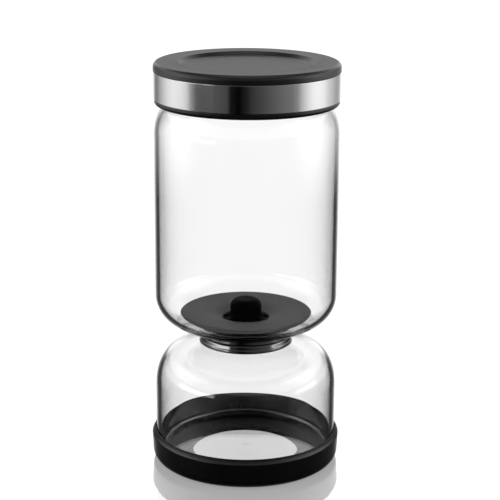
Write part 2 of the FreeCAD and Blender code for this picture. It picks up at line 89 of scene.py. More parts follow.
class Finish:  # a material or a world, with its nodes added one by one
    def __init__(self, owner):
        owner.use_nodes = True
        self.owner = owner
        self.tree = owner.node_tree
        self.tree.nodes.clear()

    def add(self, kind, settings=None, sockets=None, output=0):
        node = self.tree.nodes.new(kind)
        for name, value in (settings or {}).items():
            if name == "stops":
                while len(node.color_ramp.elements) < len(value):
                    node.color_ramp.elements.new(0.5)
                for element, (place, level) in zip(node.color_ramp.elements, value):
                    element.position = place
                    element.color = grey(level)
            else:
                setattr(node, name, value)
        pairs = sockets.items() if isinstance(sockets, dict) else enumerate(sockets or [])
        for name, value in pairs:
            if isinstance(value, Strand):
                self.tree.links.new(value.socket, node.inputs[name])
            elif value is not None:
                node.inputs[name].default_value = value
        return Strand(self, node.outputs[output] if len(node.outputs) else None)

    def maths(self, operation, first, second=None):
        return self.add("ShaderNodeMath", {"operation": operation}, [first, second])

    def vectorMaths(self, operation, first, second=None, output="Vector"):
        return self.add("ShaderNodeVectorMath", {"operation": operation}, [first, second], output)

    def noise(self, place, scale, detail, roughness=0.5):
        return self.add("ShaderNodeTexNoise", {}, {
            "Vector": place, "Scale": scale, "Detail": detail, "Roughness": roughness})

    def objectPlace(self):
        return self.add("ShaderNodeTexCoord", output="Object")

    def coordinates(self, place):  # x, y and z
        split = self.add("ShaderNodeSeparateXYZ", {}, [place]).socket.node
        return [Strand(self, socket) for socket in split.outputs]

    def facing(self):  # 0 where a surface is seen square on, 1 where it is seen edge on
        return self.add("ShaderNodeLayerWeight", {}, {"Blend": 0.5}, "Facing")

    def ray(self, kind):  # one of the things that are known about the light's path
        return self.add("ShaderNodeLightPath", output=kind)

    def mirrored(self):  # 1 for light that has been reflected on its way
        return self.maths("GREATER_THAN", self.ray("Glossy Depth"), 0.5)

    def rising(self, value, start, end):  # 0 below the start, 1 above the end
        return self.add("ShaderNodeMapRange", {"interpolation_type": "SMOOTHSTEP"}, {
            "Value": value, "From Min": start, "From Max": end})

    def ramp(self, value, stops):  # stops of (value from 0 to 1, level)
        return self.add("ShaderNodeValToRGB", {"stops": stops}, [value])

    def bearing(self, place):  # 0 behind the keeper, 0.25 left, 0.5 in front, 0.75 right
        across, depth, _ = self.coordinates(place)
        return self.maths("ARCTAN2", across, 0 - depth) / (2 * pi) + 0.5

    def around(self, turn, stops):  # stops of (degrees from the front to the right, brightness)
        peak = max(level for angle, level in stops)
        return self.ramp(turn, [(angle / 360 + 0.5, level / peak) for angle, level in stops]) * peak

    def blend(self, share, first, second):
        # a Mix node takes its factor at 0 and its colours at 6 and 7, and gives the colour at 2
        return self.add("ShaderNodeMix", {"data_type": "RGBA"}, {0: share, 6: first, 7: second}, 2)

    def shades(self, share, tones):
        dark, pale = tones
        return self.blend(share, grey(dark), grey(pale))

    def bump(self, height, distance, strength):
        return self.add("ShaderNodeBump", {}, {
            "Strength": strength, "Distance": distance, "Height": height})

    def glow(self, strength):
        return self.add("ShaderNodeEmission", {}, {"Color": grey(1), "Strength": strength})

    def matte(self, level):
        return self.add("ShaderNodeBsdfDiffuse", {}, {"Color": grey(level)})

    def addShaders(self, first, second):
        return self.add("ShaderNodeAddShader", {}, [first, second])

    def mixShaders(self, share, first, second):
        return self.add("ShaderNodeMixShader", {}, [share, first, second])

    def surface(self, sockets):
        return self.close(self.add("ShaderNodeBsdfPrincipled", {}, sockets))

    def close(self, shader, kind="ShaderNodeOutputMaterial"):
        self.add(kind, {}, {"Surface": shader})
        return self.owner


# finishes: a noise is (scale, detail), a relief is (height in metres, strength)

def bootSilicone():  # satin silicone with a fine moulded grain and a faint bloom of dust
    look = {"tones": (0.0012, 0.0025), "rough": 0.4, "roughSwing": 0.14, "gloss": 0.16,
            "cloud": (45, 3), "grain": (2600, 2), "relief": (0.00003, 0.5),
            "polish": 0.7, "polishRough": 0.24, "polishStart": 0.0511, "polishEnd": 0.0522}
    finish = Finish(bpy.data.materials.new("bootSilicone"))
    place = finish.objectPlace()
    cloud = finish.noise(place, *look["cloud"])
    grain = finish.noise(place, *look["grain"])
    flat = finish.vectorMaths("MULTIPLY", place, (1, 1, 0))
    spread = finish.vectorMaths("LENGTH", flat, output="Value")
    outside = finish.rising(spread, look["polishStart"], look["polishEnd"])
    return finish.surface({
        "Base Color": finish.shades(cloud, look["tones"]),
        "Roughness": cloud * look["roughSwing"] + look["rough"],
        "Normal": finish.bump(grain, *look["relief"]),
        "Coat Weight": outside * look["polish"],  # the outer skin is smoother than the well
        "Coat Roughness": look["polishRough"],
        "Specular IOR Level": look["gloss"]})


def blownGlass():  # clear glass, its colour painted grey where it is seen edge on: partly the longer path through the glass, mostly painted shade for the dark edge lines
    # stops of (share of the turn away from the viewer, clearness with painted edge shade)
    look = {"ior": 1.47, "ripple": (22, 1), "relief": (0.00002, 0.6),
            "clearnessWithEdgeShade": [(0, 0.99), (0.36, 0.985), (0.5, 0.95), (0.62, 0.87),
                          (0.72, 0.7), (0.85, 0.6), (1, 0.7)]}
    finish = Finish(bpy.data.materials.new("blownGlass"))
    ripple = finish.noise(finish.objectPlace(), *look["ripple"])
    return finish.surface({
        "Base Color": finish.ramp(finish.facing(), look["clearnessWithEdgeShade"]),
        "Roughness": 0.0,
        "IOR": look["ior"],
        "Transmission Weight": 1.0,
        "Normal": finish.bump(ripple, *look["relief"])})


def waistPlastic():  # glossy moulded plastic with slight flow marks
    look = {"tones": (0.0015, 0.003), "rough": 0.1, "roughSwing": 0.1, "ior": 2.2, "coat": 1.0,
            "flow": (160, 3), "grain": (900, 1), "relief": (0.00001, 0.4)}
    finish = Finish(bpy.data.materials.new("waistPlastic"))
    place = finish.objectPlace()
    flow = finish.noise(place, *look["flow"])
    grain = finish.noise(place, *look["grain"])
    return finish.surface({
        "Base Color": finish.shades(flow, look["tones"]),
        "Roughness": flow * look["roughSwing"] + look["rough"],
        "Normal": finish.bump(grain, *look["relief"]),
        "IOR": look["ior"],
        "Coat Weight": look["coat"]})


def sealSilicone():  # dull seal rubber
    look = {"tones": (0.002, 0.004), "rough": 0.5, "roughSwing": 0.15,
            "grain": (1500, 2), "relief": (0.00002, 0.5)}
    finish = Finish(bpy.data.materials.new("sealSilicone"))
    grain = finish.noise(finish.objectPlace(), *look["grain"])
    return finish.surface({
        "Base Color": finish.shades(grain, look["tones"]),
        "Roughness": grain * look["roughSwing"] + look["rough"],
        "Normal": finish.bump(grain, *look["relief"])})


def strainerPlastic():  # charcoal plastic with a fine spark-eroded grain
    look = {"tones": (0.12, 0.14), "rough": 0.48, "roughSwing": 0.12,
            "cloud": (60, 2), "grain": (2200, 3), "relief": (0.00004, 0.6)}
    finish = Finish(bpy.data.materials.new("strainerPlastic"))
    place = finish.objectPlace()
    cloud = finish.noise(place, *look["cloud"])
    grain = finish.noise(place, *look["grain"])
    return finish.surface({
        "Base Color": finish.shades(grain, look["tones"]),
        "Roughness": cloud * look["roughSwing"] + look["rough"],
        "Normal": finish.bump(grain, *look["relief"])})


def gripPlastic():  # smoother black plastic, polished a little by fingers
    look = {"tones": (0.0015, 0.003), "rough": 0.45, "roughSwing": 0.12, "gloss": 0.03,
            "touch": (110, 3), "grain": (1800, 2), "relief": (0.000006, 0.4)}
    finish = Finish(bpy.data.materials.new("gripPlastic"))
    place = finish.objectPlace()
    touch = finish.noise(place, *look["touch"])
    grain = finish.noise(place, *look["grain"])
    return finish.surface({
        "Base Color": finish.shades(touch, look["tones"]),
        "Roughness": touch * look["roughSwing"] + look["rough"],
        "Specular IOR Level": look["gloss"],
        "Normal": finish.bump(grain, *look["relief"])})


def lidPlastic():  # fine matt black plastic
    look = {"tones": (0.002, 0.0035), "rough": 0.3, "roughSwing": 0.06,
            "cloud": (50, 2), "grain": (2400, 3), "relief": (0.000015, 0.5)}
    finish = Finish(bpy.data.materials.new("lidPlastic"))
    place = finish.objectPlace()
    cloud = finish.noise(place, *look["cloud"])
    grain = finish.noise(place, *look["grain"])
    return finish.surface({
        "Base Color": finish.shades(grain, look["tones"]),
        "Roughness": cloud * look["roughSwing"] + look["rough"],
        "Normal": finish.bump(grain, *look["relief"])})


def brushedSteel():  # hairlines run round the band and meet at a seam at the back
    look = {"tones": (0.56, 0.66), "seamTone": 0.3, "rough": 0.09, "roughSwing": 0.02,
            "fine": (1.0, 4, 0.6), "broad": (0.16, 2), "fineShare": 0.7, "relief": (0.000002, 0.5),
            "linesPerMetre": 9000, "lineStretch": 3.0, "seamHalfAngle": 0.004,
            "brushing": 1.0, "brushingTurn": 0.25}
    finish = Finish(bpy.data.materials.new("brushedSteel"))
    across, depth, height = finish.coordinates(finish.objectPlace())
    turn = finish.maths("ARCTAN2", across, 0 - depth)
    line = finish.add("ShaderNodeCombineXYZ", {}, [
        turn * look["lineStretch"], height * look["linesPerMetre"], 0.0])
    fine = finish.noise(line, *look["fine"])
    broad = finish.noise(line, *look["broad"])
    seam = finish.maths("GREATER_THAN", finish.maths("ABSOLUTE", turn), pi - look["seamHalfAngle"])
    tone = finish.shades(fine * look["fineShare"] + broad * (1 - look["fineShare"]), look["tones"])
    return finish.surface({
        "Base Color": finish.blend(seam, tone, grey(look["seamTone"])),
        "Metallic": 1.0,
        "Roughness": fine * look["roughSwing"] + look["rough"],
        "Anisotropic": look["brushing"],
        "Anisotropic Rotation": look["brushingTurn"],
        "Normal": finish.bump(fine, *look["relief"])})


finishes = {
    "boot_silicone": bootSilicone(),
    "clear_glass": blownGlass(),
    "waist_plastic": waistPlastic(),
    "seal_silicone": sealSilicone(),
    "strainer_plastic": strainerPlastic(),
    "grip_plastic": gripPlastic(),
    "lid_plastic": lidPlastic(),
    "brushed_band": brushedSteel(),
}
print("finishes made:", len(finishes))


# modelling helpers, in millimetres

matchGap = 0.002  # a vertex this near to a ring belongs to it
mergeGap = 0.001
holdGap = 0.3  # from a rounding to the ring that keeps the stretch beside it flat
fineSides = 256
# how blown glass rounds a corner: its share of the usual reach, and where the curve's controls lie
glassFlow = {"share": 1.18, "steps": 18, "controls": (1, 0.68, 0.34)}


def deselectAll():
    for thing in bpy.context.selected_objects:
        thing.select_set(False)


def makeActive(piece):
    deselectAll()
    piece.select_set(True)
    bpy.context.view_layer.objects.active = piece


def applyModifier(piece, kind, settings):
    makeActive(piece)
    modifier = piece.modifiers.new(kind.title(), kind)
    for name, value in settings.items():
        setattr(modifier, name, value)
    bpy.ops.object.modifier_apply(modifier=modifier.name)


def placesOf(piece):  # every vertex as distance from the axis and height
    net = piece.data
    spots = np.empty(len(net.vertices) * 3, np.float32)
    net.vertices.foreach_get("co", spots)
    spots = spots.reshape(-1, 3).astype(float) / mm
    return np.hypot(spots[:, 0], spots[:, 1]), spots[:, 2]


def roundRings(piece, rings, cuts):  # rings of (radius, height, setback of the rounding)
    net = piece.data
    across, up = placesOf(piece)
    ends = np.empty(len(net.edges) * 2, np.int32)
    net.edges.foreach_get("vertices", ends)
    ends = ends.reshape(-1, 2)
    widest = max(ring[2] for ring in rings)
    weights = np.zeros(len(net.edges), np.float32)
    for radius, height, setback in rings:
        near = (np.abs(across - radius) < matchGap) & (np.abs(up - height) < matchGap)
        weights[near[ends[:, 0]] & near[ends[:, 1]]] = setback / widest
    layer = (net.attributes.get("bevel_weight_edge")
             or net.attributes.new("bevel_weight_edge", "FLOAT", "EDGE"))
    layer.data.foreach_set("value", weights)
    applyModifier(piece, "BEVEL", {"limit_method": "WEIGHT", "width": widest * mm,
                                   "segments": cuts, "use_clamp_overlap": False})
    leftOver = net.attributes.get("bevel_weight_edge")
    if leftOver:
        net.attributes.remove(leftOver)


def setbacks(outline, closed):  # how far before and after its ring each corner's rounding starts
    reaches = []
    for index, corner in enumerate(outline):
        if len(corner) < 3 or (not closed and index in (0, len(outline) - 1)):
            reaches.append(0)
            continue
        before = outline[index - 1]
        after = outline[(index + 1) % len(outline)]
        arriving = atan2(corner[1] - before[1], corner[0] - before[0])
        leaving = atan2(after[1] - corner[1], after[0] - corner[0])
        bend = abs((leaving - arriving + pi) % (2 * pi) - pi)
        reaches.append(corner[2] * tan(bend / 2))
    return reaches


def withHoldingRings(outline, reaches, closed):
    # the outline's rings, and one beside each rounding that keeps the straight stretch flat
    rings = []
    count = len(outline)
    for index in range(count):
        start, reach = outline[index], reaches[index]
        rings.append(start[:2])
        if index == count - 1 and not closed:
            break
        end, endReach = outline[(index + 1) % count], reaches[(index + 1) % count]
        length = hypot(end[0] - start[0], end[1] - start[1])
        spare = length - reach - endReach
        places = [reach + holdGap] * (reach > 0) + [length - endReach - holdGap] * (endReach > 0)
        if spare > 3 * holdGap and length > 0:
            for place in places:
                rings.append(tuple(a + (b - a) * place / length
                                   for a, b in zip(start[:2], end[:2])))
    return rings


def flowingCorner(before, corner, after, reachIn, reachOut):
    # a Bezier curve with its controls on both sides of the corner starts and ends without a jolt
    controls = []
    for along in glassFlow["controls"]:
        share = along * reachIn / dist(before, corner)
        controls.append([c + (b - c) * share for b, c in zip(before, corner)])
    for along in reversed(glassFlow["controls"]):
        share = along * reachOut / dist(after, corner)
        controls.append([c + (a - c) * share for a, c in zip(after, corner)])
    degree = len(controls) - 1
    rings = []
    for step in range(glassFlow["steps"] + 1):
        share = step / glassFlow["steps"]
        weights = [comb(degree, k) * share ** k * (1 - share) ** (degree - k)
                   for k in range(degree + 1)]
        rings.append(tuple(sum(w * point[side] for w, point in zip(weights, controls))
                           for side in (0, 1)))
    return rings


def blownOutline(outline):  # every rounded corner becomes a run of rings, as glass flows
    rings = []
    reaches = setbacks(outline, False)
    for index, corner in enumerate(outline):
        if not reaches[index]:
            rings.append(corner[:2])
            continue
        lead = corner[3] if len(corner) > 3 else glassFlow["share"]
        rings += flowingCorner(outline[index - 1][:2], corner[:2], outline[index + 1][:2],
                               reaches[index] * lead, reaches[index] * glassFlow["share"])
    return rings


def turnOutline(name, outline, cuts=4, closed=True, sides=192):
    # an outline of (radius, height, rounding), drawn out ring by ring from a circle
    deselectAll()
    capped = outline[0][0] == 0
    ringed = closed and not capped
    reaches = setbacks(outline, ringed)
    rings = withHoldingRings(outline, reaches, ringed)[capped:]
    radius, height = rings[0][0] * mm, rings[0][1] * mm
    bpy.ops.mesh.primitive_circle_add(
        vertices=sides, radius=radius, location=(0, 0, height),
        fill_type="TRIFAN" if capped else "NOTHING")
    piece = bpy.context.object
    piece.name = piece.data.name = name
    bpy.ops.object.transform_apply(location=True, rotation=True, scale=True)
    bpy.ops.object.mode_set(mode="EDIT")
    bpy.ops.mesh.select_all(action="SELECT")
    if capped:
        bpy.ops.mesh.region_to_loop()
    for ring in rings[1:] + (rings[:1] if ringed else []):
        bpy.ops.mesh.extrude_edges_move(
            TRANSFORM_OT_translate={"value": (0, 0, ring[1] * mm - height)})
        height = ring[1] * mm
        if ring[0] == 0:
            bpy.ops.mesh.merge(type="CENTER")
            break
        growth = ring[0] * mm / radius
        radius = ring[0] * mm
        bpy.ops.transform.resize(value=(growth, growth, 1), center_override=(0, 0, height))
    bpy.ops.mesh.select_all(action="SELECT")
    bpy.ops.mesh.remove_doubles(threshold=mergeGap * mm)
    bpy.ops.mesh.normals_make_consistent(inside=False)
    bpy.ops.object.mode_set(mode="OBJECT")
    rounded = [(corner[0], corner[1], reach) for corner, reach in zip(outline, reaches) if reach]
    if rounded:
        roundRings(piece, rounded, cuts)
    return piece


def addWall(piece, wall):  # glass grows inwards from the outline
    applyModifier(piece, "SOLIDIFY", {
        "thickness": wall * mm, "offset": -1, "use_even_offset": True})


def block(name, low, high, rounding, cuts=3):  # a bar between two corners, its edges rounded
    deselectAll()
    middle = [(a + b) / 2 * mm for a, b in zip(low, high)]
    bpy.ops.mesh.primitive_cube_add(size=1, location=middle)
    piece = bpy.context.object
    piece.name = piece.data.name = name
    piece.scale = [(b - a) * mm for a, b in zip(low, high)]
    bpy.ops.object.transform_apply(location=True, rotation=True, scale=True)
    applyModifier(piece, "BEVEL", {
        "width": rounding * mm, "segments": cuts, "limit_method": "NONE"})
    return piece


def ringOf(pattern, count, start=0.0):  # copies round the axis, each with its own mesh
    copies = []
    for index in range(count):
        angle = start + 2 * pi * index / count
        copy = pattern.copy()
        copy.data = pattern.data.copy()
        bpy.context.collection.objects.link(copy)
        copy.data.transform(Matrix.Rotation(angle, 4, "Z"))
        copies.append(copy)
    bpy.data.objects.remove(pattern)
    return copies


def join(piece, others):
    makeActive(piece)
    for other in others:
        other.select_set(True)
    bpy.ops.object.join()


def cutOut(piece, cutters):
    cutter = cutters[0]
    join(cutter, cutters[1:])
    applyModifier(piece, "BOOLEAN", {
        "operation": "DIFFERENCE", "solver": "EXACT", "object": cutter})
    bpy.data.objects.remove(cutter)


def finishPiece(piece, node, slot, body, smoothAngle=35):
    makeActive(piece)
    bpy.ops.object.shade_smooth_by_angle(angle=radians(smoothAngle))
    piece.data.materials.clear()
    piece.data.materials.append(finishes[slot])
    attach(piece, body)
    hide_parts(node)
    print("piece made:", piece.name, len(piece.data.polygons), "faces")
    return piece


# where the stack of pieces lies, read from the frame
bootBase, bootTop, bootRadius = spanOf("foot_boot")
brineBase, brineRim, glassRadius = spanOf("lower_jar")
_, ringTop, waistRadius = spanOf("neck_ring")
nutBase, nutTop, nutRadius = spanOf("clamp_nut")
bowlBase, mouthRim, pickleRadius = spanOf("upper_jar")
stemBase, flangeTop, flangeRadius = spanOf("drain_stem")
lidFoot, lidSeat, lidFootRadius = spanOf("lid_body")
bandBase, bandTop, bandRadius = spanOf("lid_band")
capBase, lidTop, lidRadius = spanOf("lid_cap")
glassWall = 2.4
seatGap = 0.03  # keeps what touches glass just off its surface
skinGap = 0.02  # the same for the lid's seal and the strainer's lugs


def makeBoot():
    boot = {"bore": 50.15, "hole": 29.6, "floor": 2.6, "well": 6.15, "heel": 5.0,
            "baseRadius": 51.6, "lipHeight": 14.6, "lip": 1.4, "lipSpare": 0.02, "rimWidth": 0.8,
            "edge": 0.3}
    floor = boot["floor"] - seatGap
    outline = [
        (boot["hole"], bootBase, boot["edge"]),
        (boot["baseRadius"], bootBase, boot["heel"]),
        (bootRadius + boot["lipSpare"], boot["lipHeight"], boot["lip"]),
        (boot["bore"] + boot["rimWidth"], bootTop, boot["edge"]),
        (boot["bore"], bootTop, boot["edge"]),
        (boot["bore"], floor, boot["well"]),
        (boot["hole"], floor, boot["edge"]),
    ]
    finishPiece(turnOutline("bootSleeve", outline, cuts=6), "foot_boot", "boot_silicone", "lower")


def makeBrineGlass():
    # the mark is the faint dimple in the middle of the base, as stops of (radius, depth)
    jar = {"mark": [(0, 0.2), (2.0, 0.16), (4.0, 0)], "heel": 6.0, "wallHeight": 56.1,
           "shoulder": 15.5, "lead": 1.75, "browRadius": 34.5, "browHeight": 63.9, "brow": 30.0,
           "neckRadius": 23.4, "crownHeight": 65.7, "crown": 1.5, "rim": 0.6}
    outline = [(radius, brineBase + depth) for radius, depth in jar["mark"]] + [
        (glassRadius, brineBase, jar["heel"]),
        (glassRadius, brineBase + jar["wallHeight"], jar["shoulder"], jar["lead"]),
        (jar["browRadius"], brineBase + jar["browHeight"], jar["brow"]),
        (jar["neckRadius"], brineBase + jar["crownHeight"], jar["crown"]),
        (jar["neckRadius"], brineRim),
    ]
    glass = turnOutline("brineGlass", blownOutline(outline), closed=False, sides=fineSides)
    addWall(glass, glassWall)
    rim = [
        (jar["neckRadius"], brineRim, jar["rim"]),
        (jar["neckRadius"] - glassWall, brineRim, jar["rim"]),
    ]
    roundRings(glass, rim, cuts=4)
    finishPiece(glass, "lower_jar", "clear_glass", "lower", smoothAngle=50)


def makePickleGlass():
    jar = {"hole": 20.3, "holeEdge": 0.25, "bowlRadius": 33.4, "bowlInner": 26.0,
           "bowlHeight": 9.6, "bowlOuter": 15.5, "shoulderHeight": 117.3, "shoulder": 25.0,
           "mouthRadius": 44.3, "neckHeight": 125.8, "neck": 3.0, "rim": 0.8}
    outline = [
        (jar["hole"], bowlBase),
        (jar["bowlRadius"], bowlBase, jar["bowlInner"]),
        (pickleRadius, bowlBase + jar["bowlHeight"], jar["bowlOuter"]),
        (pickleRadius, bowlBase + jar["shoulderHeight"], jar["shoulder"]),
        (jar["mouthRadius"], bowlBase + jar["neckHeight"], jar["neck"]),
        (jar["mouthRadius"], mouthRim),
    ]
    glass = turnOutline("pickleGlass", blownOutline(outline), closed=False, sides=fineSides)
    addWall(glass, glassWall)
    edges = [
        (jar["mouthRadius"], mouthRim, jar["rim"]),
        (jar["mouthRadius"] - glassWall, mouthRim, jar["rim"]),
        (jar["hole"], bowlBase, jar["holeEdge"]),
        (jar["hole"], bowlBase + glassWall, jar["holeEdge"]),
    ]
    roundRings(glass, edges, cuts=4)
    finishPiece(glass, "upper_jar", "clear_glass", "upper", smoothAngle=50)


# the quick thread of the waist: its ridges' section, then the ring's bore and the stem's tube
threads = {"starts": 3, "rise": 4.0, "turn": 120.0, "depth": 0.8, "foot": 0.8, "crest": 0.35,
           "sunk": 0.15, "steps": 32}
ringThread = {"radius": 19.9, "side": -1, "lift": 0.1, "sweep": 66.0, "phase": 60}
stemThread = {"radius": 18.9, "side": 1, "lift": 0.4, "sweep": 96.0, "phase": 0}


def threadRidges(name, thread, foot):  # right-hand ridges, inwards on a bore, outwards on a tube
    root = thread["radius"] - threads["sunk"] * thread["side"]
    tip = thread["radius"] + threads["depth"] * thread["side"]
    base = foot + thread["lift"] + threads["foot"]
    rise = threads["rise"] * thread["sweep"] / threads["turn"]
    deselectAll()
    bpy.ops.mesh.primitive_plane_add(size=1, location=(0, 0, 0))
    ridge = bpy.context.object
    ridge.name = name
    corners = [(root, -threads["foot"]), (tip, -threads["crest"]),
               (root, threads["foot"]), (tip, threads["crest"])]
    for vertex, (out, up) in zip(ridge.data.vertices, corners):
        vertex.co = (out * mm, 0, (base + up) * mm)
    applyModifier(ridge, "SCREW", {
        "axis": "Z", "angle": radians(thread["sweep"]), "screw_offset": rise * mm,
        "steps": threads["steps"], "render_steps": threads["steps"], "use_smooth_shade": False})
    bpy.ops.object.mode_set(mode="EDIT")
    bpy.ops.mesh.select_all(action="SELECT")
    bpy.ops.mesh.fill_holes(sides=4)
    bpy.ops.mesh.normals_make_consistent(inside=False)
    bpy.ops.object.mode_set(mode="OBJECT")
    return ringOf(ridge, threads["starts"], radians(thread["phase"]))


def makeNeckRing():
    ring = {"hubRadius": 20.85, "hubFoot": 68.1, "smallEdge": 0.2, "bond": 23.55,
            "heelRadius": 25.05, "heel": 68.13, "heelRise": 1.5, "foot": 67.98, "beadTop": 69.88,
            "beadLean": 0.36, "beadEdge": 0.25, "neck": 25.4, "crease": 0.1, "lean": 0.5,
            "edge": 0.4}
    bore = ringThread["radius"]
    outline = [
        (bore, ring["hubFoot"], ring["smallEdge"]),
        (ring["hubRadius"], ring["hubFoot"], ring["smallEdge"]),
        (ring["hubRadius"], brineRim + seatGap),
        (ring["bond"], brineRim + seatGap),
        (ring["bond"], ring["heel"] + ring["heelRise"]),
        (ring["heelRadius"], ring["heel"], ring["smallEdge"]),
        (waistRadius, ring["foot"], ring["edge"]),
        (waistRadius - ring["beadLean"], ring["beadTop"], ring["beadEdge"]),
        (ring["neck"], ring["beadTop"], ring["crease"]),
        (ring["neck"] - ring["lean"], ringTop, ring["edge"]),
        (bore, ringTop, ring["smallEdge"]),
    ]
    piece = turnOutline("neckRing", outline)
    join(piece, threadRidges("ringThread", ringThread, ring["hubFoot"]))
    finishPiece(piece, "neck_ring", "waist_plastic", "lower")


def makeFlatRing(name, node, slot, body, lift=0.0, drop=0.0, edge=0.2):  # gaskets and neck seal
    bores = {"neck_seal": 19.9, "outer_gasket": 20.3, "inner_gasket": 20.3}
    base, top, outer = spanOf(node)
    inner = bores[node]
    low, high = base + lift, top - drop
    corners = [(inner, low), (outer, low), (outer, high), (inner, high)]
    outline = [(radius, height, edge) for radius, height in corners]
    finishPiece(turnOutline(name, outline, cuts=3), node, slot, body)


def makeClampNut():
    nut = {"bore": 19.9, "lean": 0.5, "edge": 0.4, "boreEdge": 0.2}
    outline = [
        (nut["bore"], nutBase, nut["boreEdge"]),
        (nutRadius, nutBase, nut["edge"]),
        (nutRadius - nut["lean"], nutTop, nut["edge"]),
        (nut["bore"], nutTop, nut["boreEdge"]),
    ]
    finishPiece(turnOutline("clampNut", outline), "clamp_nut", "waist_plastic", "upper")


def makeDrainStem():
    stem = {"bore": 17.0, "flangeBase": 79.8, "edge": 0.3, "flangeFoot": 0.2, "flangeEdge": 0.6}
    tube = stemThread["radius"]
    outline = [
        (stem["bore"], stemBase, stem["edge"]),
        (tube, stemBase, stem["edge"]),
        (tube, stem["flangeBase"]),
        (flangeRadius, stem["flangeBase"], stem["flangeFoot"]),
        (flangeRadius, flangeTop, stem["flangeEdge"]),
        (stem["bore"], flangeTop, stem["flangeEdge"]),
    ]
    piece = turnOutline("drainStem", outline)
    join(piece, threadRidges("stemThread", stemThread, stemBase))
    finishPiece(piece, "drain_stem", "waist_plastic", "upper")


def makeStrainerPlate():
    plate = {"throat": 13.0, "throatRise": 0.2, "throatEdge": 0.15, "ledgeDepth": 0.8,
             "ledgeWidth": 0.8, "wall": 1.6, "dishRadius": 19.5, "dishRise": 2.2, "dish": 16.0,
             "rimRadius": 36.4, "rimRise": 1.05, "edge": 2.2, "edgeWall": 1.8, "edgeRound": 0.72,
             "crease": 0.1, "barEdge": 0.25,
             "lugs": 6, "lugInner": 20.0, "lugOuter": 23.2, "lugWidth": 3.0, "lugRoot": 0.8,
             "fins": 6, "finInner": 13.5, "finOuter": 16.5, "finWidth": 1.4, "finDepth": 5.5,
             "finDrop": 0.4}
    throatTop = flangeTop + plate["throatRise"]
    dishTop = throatTop + plate["dishRise"]
    rimTop = dishTop + plate["rimRise"]
    ledge = plate["throat"] - plate["ledgeWidth"]
    edgeInner = plate["rimRadius"] - plate["edgeWall"]
    outline = [
        (plate["throat"], throatTop - plate["ledgeDepth"]),
        (plate["throat"], throatTop, plate["throatEdge"]),
        (plate["dishRadius"], dishTop, plate["dish"]),
        (plate["rimRadius"], rimTop, plate["edgeRound"]),
        (plate["rimRadius"], rimTop - plate["edge"], plate["edgeRound"]),
        (edgeInner, rimTop - plate["edge"], plate["crease"]),
        (edgeInner, rimTop - plate["wall"], plate["crease"]),
        (plate["dishRadius"], dishTop - plate["wall"], plate["dish"]),
        (plate["throat"], throatTop - plate["wall"]),
        (ledge, throatTop - plate["wall"], plate["crease"]),
        (ledge, throatTop - plate["ledgeDepth"], plate["crease"]),
    ]
    piece = turnOutline("strainerDish", outline, cuts=6)
    lugFoot, lugTop = flangeTop + skinGap, dishTop - plate["wall"] + plate["lugRoot"]
    lug = block("spacerLug", (plate["lugInner"], -plate["lugWidth"] / 2, lugFoot),
                (plate["lugOuter"], plate["lugWidth"] / 2, lugTop), plate["barEdge"])
    finFoot, finTop = flangeTop - plate["finDepth"], throatTop - plate["finDrop"]
    fin = block("centringFin", (plate["finInner"], -plate["finWidth"] / 2, finFoot),
                (plate["finOuter"], plate["finWidth"] / 2, finTop), plate["barEdge"])
    join(piece, ringOf(lug, plate["lugs"]) + ringOf(fin, plate["fins"]))
    finishPiece(piece, "strainer_plate", "strainer_plastic", "strainer")


def makeStrainerGrip():
    grip = {"radius": 8.6, "wall": 1.5, "crown": 4.0, "crownInner": 2.0, "flare": 12.9,
            "flareWall": 0.8, "flareEdge": 0.2, "bend": 3.6, "finger": 12.1, "fingerWall": 1.3,
            "lip": 0.6, "ledge": 81.0, "catch": 80.1, "edge": 0.1, "catchEdge": 0.05,
            "slots": 6, "slotWidth": 4.2, "slotInset": 3.6, "slotEdge": 0.35,
            "pastBase": 1.0, "pastFlare": 2.0}
    base, top, _ = spanOf("strainer_grip")
    bore = grip["radius"] - grip["wall"]
    fingerInner = grip["finger"] - grip["fingerWall"]
    outline = [
        (0, top - grip["wall"]),
        (bore, top - grip["wall"], grip["crownInner"]),
        (bore, grip["ledge"], grip["bend"]),
        (fingerInner, grip["ledge"], grip["edge"]),
        (fingerInner, base, grip["edge"]),
        (grip["finger"], base, grip["edge"]),
        (grip["finger"] + grip["lip"], grip["catch"], grip["catchEdge"]),
        (grip["finger"], grip["catch"], grip["catchEdge"]),
        (grip["finger"], grip["ledge"]),
        (grip["flare"], grip["ledge"], grip["catchEdge"]),
        (grip["flare"], grip["ledge"] + grip["flareWall"], grip["flareEdge"]),
        (grip["radius"], grip["ledge"] + grip["flareWall"], grip["bend"]),
        (grip["radius"], top, grip["crown"]),
        (0, top),
    ]
    piece = turnOutline("strainerBell", outline, cuts=8)
    # the slots' cutters stand past the foot and the flare
    slotInner, slotOuter = grip["flare"] - grip["slotInset"], grip["flare"] + grip["pastFlare"]
    slotFoot, slotTop = base - grip["pastBase"], grip["ledge"] + grip["bend"]
    slot = block("drainSlot", (slotInner, -grip["slotWidth"] / 2, slotFoot),
                 (slotOuter, grip["slotWidth"] / 2, slotTop), grip["slotEdge"])
    cutOut(piece, ringOf(slot, grip["slots"]))
    finishPiece(piece, "strainer_grip", "grip_plastic", "strainer", smoothAngle=30)


